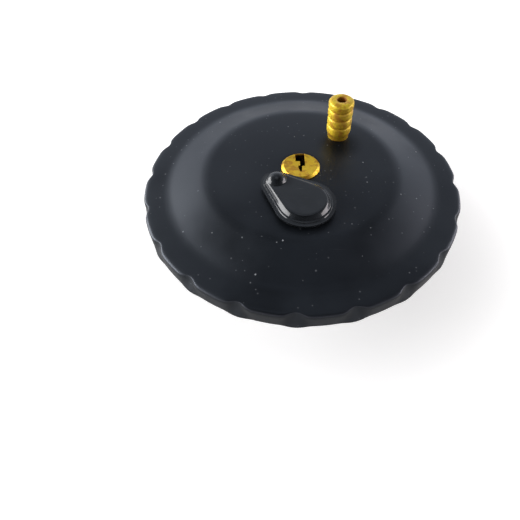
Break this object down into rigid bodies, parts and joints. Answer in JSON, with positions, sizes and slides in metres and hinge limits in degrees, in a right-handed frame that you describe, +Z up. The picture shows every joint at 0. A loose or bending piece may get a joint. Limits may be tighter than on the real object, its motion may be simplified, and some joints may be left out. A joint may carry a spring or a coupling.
{
  "type": "fuel filler cap",
  "caption": "Round black fluted fuel filler cap with a keyed brass lock, a swinging dust flap, a brass hose barb and a sprung bayonet bridge.",
  "frame": {"origin": "on the cap's axis, at the bottom of the lock housing's barrel", "axes": "+Z up out of the crown, +Y the way the top of the keyway points, +X to the right of the keyway"},
  "size_m": [0.1016, 0.1016, 0.0441],
  "materials": {
    "cover_paint": "satin black stoving paint on pressed steel",
    "flap_paint": "gloss black paint on pressed steel",
    "brass": "bright turned brass",
    "zinc_casting": "dull zinc die casting",
    "plated_steel": "bright zinc plating",
    "spring_steel": "oiled spring steel",
    "rubber": "matt moulded nitrile rubber"
  },
  "bodies": {
    "cap": {"cover": "cover_paint", "inner_pan": "plated_steel", "gasket": "rubber", "lock_housing": "zinc_casting", "housing_rivet_1": "plated_steel", "housing_rivet_2": "plated_steel", "housing_rivet_3": "plated_steel", "bolt_guide": "plated_steel", "keeper_plate": "plated_steel", "spring_cup": "plated_steel", "retaining_ring": "spring_steel", "hose_barb": "brass", "flap_rivet": "flap_paint", "flap_bush": "plated_steel", "flap_washer": "spring_steel", "bayonet_spring": "spring_steel"},
    "flap": {"dust_flap": "flap_paint"},
    "plug": {"lock_plug": "brass", "wafer_1": "brass", "wafer_2": "brass", "wafer_3": "brass", "wafer_4": "brass", "wafer_5": "brass", "drive_cam": "zinc_casting", "cam_screw": "plated_steel"},
    "bolt": {"lock_bolt": "plated_steel"},
    "bridge": {"bayonet_bridge": "plated_steel"}
  },
  "joints": [
    {"name": "flap_swing", "type": "hinge", "parent": "cap", "child": "flap", "pos_m": [-0.0077, -0.0085, 0.0315], "axis": [0, 0, 1], "range_deg": [-15, 94.63]},
    {"name": "plug_turn", "type": "hinge", "parent": "cap", "child": "plug", "pos_m": [0, 0, 0.03], "axis": [0, 0, -1], "range_deg": [0, 90]},
    {"name": "bolt_throw", "type": "slide", "parent": "cap", "child": "bolt", "axis": [0, -1, 0], "range_m": [0, 0.00566]},
    {"name": "bridge_lift", "type": "slide", "parent": "cap", "child": "bridge", "axis": [0, 0, -1], "range_m": [0, 0.0025], "stiffness_N_per_m": 6000, "springref_m": -0.004, "deforming": ["bayonet_spring"]}
  ],
  "couplings": [
    {"joint": "plug_turn", "follows": "bolt_throw", "rad_per_m": 277.68}
  ]
}
